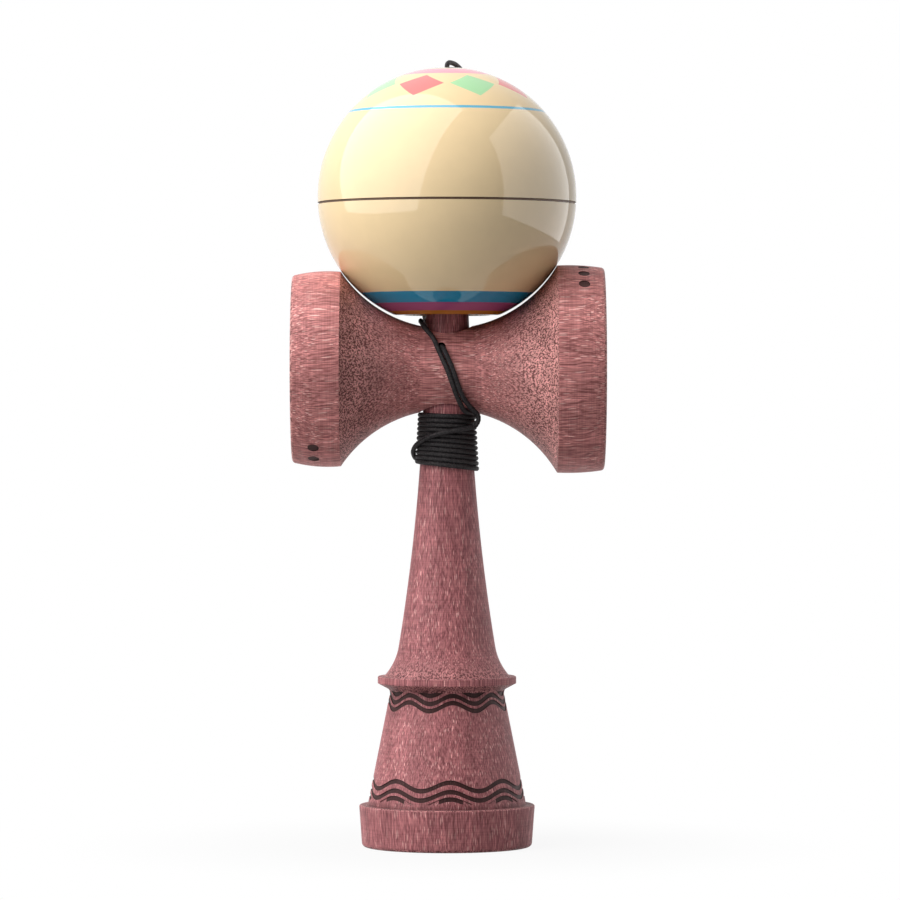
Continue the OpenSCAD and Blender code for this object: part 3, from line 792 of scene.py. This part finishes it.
def ball_cord(material):
    """From the cross piece, up the back of the ball, in at its crown and down to the bead's knot."""
    tied = (0, 0, BEAD_FOOT - BEAD_KNOT_DROP)
    inside = [(0, 0, z) for z in np.arange(TAMA_TOP - CORE_START, tied[2], -CORE_STEP)]
    made, path, length = cord("string_to_ball", placed(RISER_ROUTE) + inside + [tied], material)
    end = knot("string_last_knot", tied, (0, 0, 1), "string_end", material)
    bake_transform(made)
    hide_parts("string_riser", "string_core")
    return [made, end]


# The stage

EYE, AIM, LENS, SENSOR = (0.0007, -1.150, 0.0986), (0.0007, 0.0, 0.0916), 199.1, 36.0
FLOOR_R, FLOOR_SIDES, PAPER_DARK, PAPER_LIGHT = 450, 120, (0.48, 0.48, 0.48), (0.52, 0.52, 0.52)
# The floor's white glow is weakest within SHADE_R of the middle, a painted shade round the base, and full
# beyond WHITE_R
SHADE_R, WHITE_R, SHADE_WHITE = 20.0, 100.0, 0.92

# Each lamp's name, place, aim, size, power, and whether it is mirrored
MIDDLE = (0.0, 0.0, 0.13)
LAMPS = [
    ("key", (-0.30, -0.28, 0.45), MIDDLE, (0.45, 0.45), 2.85, False),
    ("top", (-0.18, -0.03, 0.60), MIDDLE, (0.45, 0.45), 2.0, False),
    ("side", (-0.55, -0.12, 0.16), MIDDLE, (0.40, 0.40), 0.75, False),
    ("fill", (0.48, 0.03, 0.30), MIDDLE, (0.55, 0.75), 0.65, False),
    ("window", (-0.41, 0.03, 0.43), (-0.06, 0.39, 0.10), (0.98, 0.99), 7.5, True),
    ("card", (0.42, 0.05, 0.36), (0.0, 0.05, 0.36), (0.80, 0.72), 3.0, True),
]
AMBIENT = 0.04


def floor_disc():
    """Pale paper that takes the object's shadow. Near the object less of it glows white, which paints a
    faint grey shade round the base; away from it the paper turns plain white.
    """
    turns = np.linspace(0, 2 * math.pi, FLOOR_SIDES, False)
    points = [(FLOOR_R * math.cos(a), FLOOR_R * math.sin(a), 0.0) for a in turns]
    f = Finish("floor")
    x, y, _ = f.axes(f.place(1.0, 1.0, 1.0))
    out = off_axis(f, x, y)
    grain = f.noise(f.place(0.02, 0.02, 0.02))
    paper = f.add("ShaderNodeBsdfDiffuse", {"Color": f.mix(grain, PAPER_DARK, PAPER_LIGHT)})
    glow = f.add("ShaderNodeEmission", {"Color": (1, 1, 1, 1), "Strength": 1.0})
    # Painted shade: less white glow near the object, so the floor turns greyer round the base, beside the
    # real shadow that the paper share takes.
    white = f.ramp(out, SHADE_R, WHITE_R, SHADE_WHITE, 1.0)
    path = f.add("ShaderNodeLightPath", {}).node.outputs
    seen = f.math("MULTIPLY", f.math("MAXIMUM", path["Is Camera Ray"], path["Is Glossy Ray"]), white)
    paint = f.surface(f.add("ShaderNodeMixShader", {0: seen, 1: paper, 2: glow}))
    return new_object("floor", points, [tuple(range(len(points)))], [paint])


def lamp(name, place, aim, size, power, mirrored):
    """A soft panel. A mirrored one only shows in glossy surfaces, and the others only light the object."""
    data = bpy.data.lights.new(name, "AREA")
    data.shape = "RECTANGLE"
    data.size, data.size_y = size
    data.energy = power
    made = bpy.data.objects.new(name, data)
    made.location = place
    made.rotation_euler = (Vector(aim) - Vector(place)).to_track_quat("-Z", "Y").to_euler()
    made.visible_camera = False
    made.visible_diffuse = not mirrored
    made.visible_glossy = mirrored
    bpy.context.scene.collection.objects.link(made)


def white_world(ambient):
    """White to the camera and in reflections, and a fainter even light on everything else."""
    world = bpy.data.worlds.new("studio")
    world.use_nodes = True
    tree = world.node_tree
    tree.nodes.clear()
    path = tree.nodes.new("ShaderNodeLightPath")
    seen = tree.nodes.new("ShaderNodeMath")
    seen.operation = "MAXIMUM"
    tree.links.new(path.outputs["Is Camera Ray"], seen.inputs[0])
    tree.links.new(path.outputs["Is Glossy Ray"], seen.inputs[1])
    strength = tree.nodes.new("ShaderNodeMapRange")
    tree.links.new(seen.outputs[0], strength.inputs["Value"])
    strength.inputs["To Min"].default_value = ambient
    strength.inputs["To Max"].default_value = 1.0
    sky = tree.nodes.new("ShaderNodeBackground")
    sky.inputs["Color"].default_value = (1, 1, 1, 1)
    tree.links.new(strength.outputs[0], sky.inputs["Strength"])
    out = tree.nodes.new("ShaderNodeOutputWorld")
    tree.links.new(sky.outputs[0], out.inputs["Surface"])
    bpy.context.scene.world = world


def camera():
    data = bpy.data.cameras.new("camera")
    data.sensor_width = SENSOR
    data.lens = LENS
    made = bpy.data.objects.new("camera", data)
    made.location = EYE
    made.rotation_euler = (Vector(AIM) - Vector(EYE)).to_track_quat("-Z", "Y").to_euler()
    bpy.context.scene.collection.objects.link(made)
    bpy.context.scene.camera = made


# Putting it together

def seat(obj, body, slot, *nodes):
    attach(obj, body)
    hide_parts(*nodes)


seat(ken_mesh(), "ken", "ken_wood", "ken")
seat(sarado_mesh(), "sarado", "sarado_wood", "sarado")
seat(tama_mesh(), "tama", "tama_lacquer", "tama")
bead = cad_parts["bead"]
bead.data.materials.clear()
bead.data.materials.append(pale_wood)
string_braid = braid()
for piece in wound_cord(string_braid) + ball_cord(string_braid):
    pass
floor_disc()
for values in LAMPS:
    lamp(*values)
white_world(AMBIENT)
camera()
bpy.context.scene.view_settings.view_transform = "Standard"
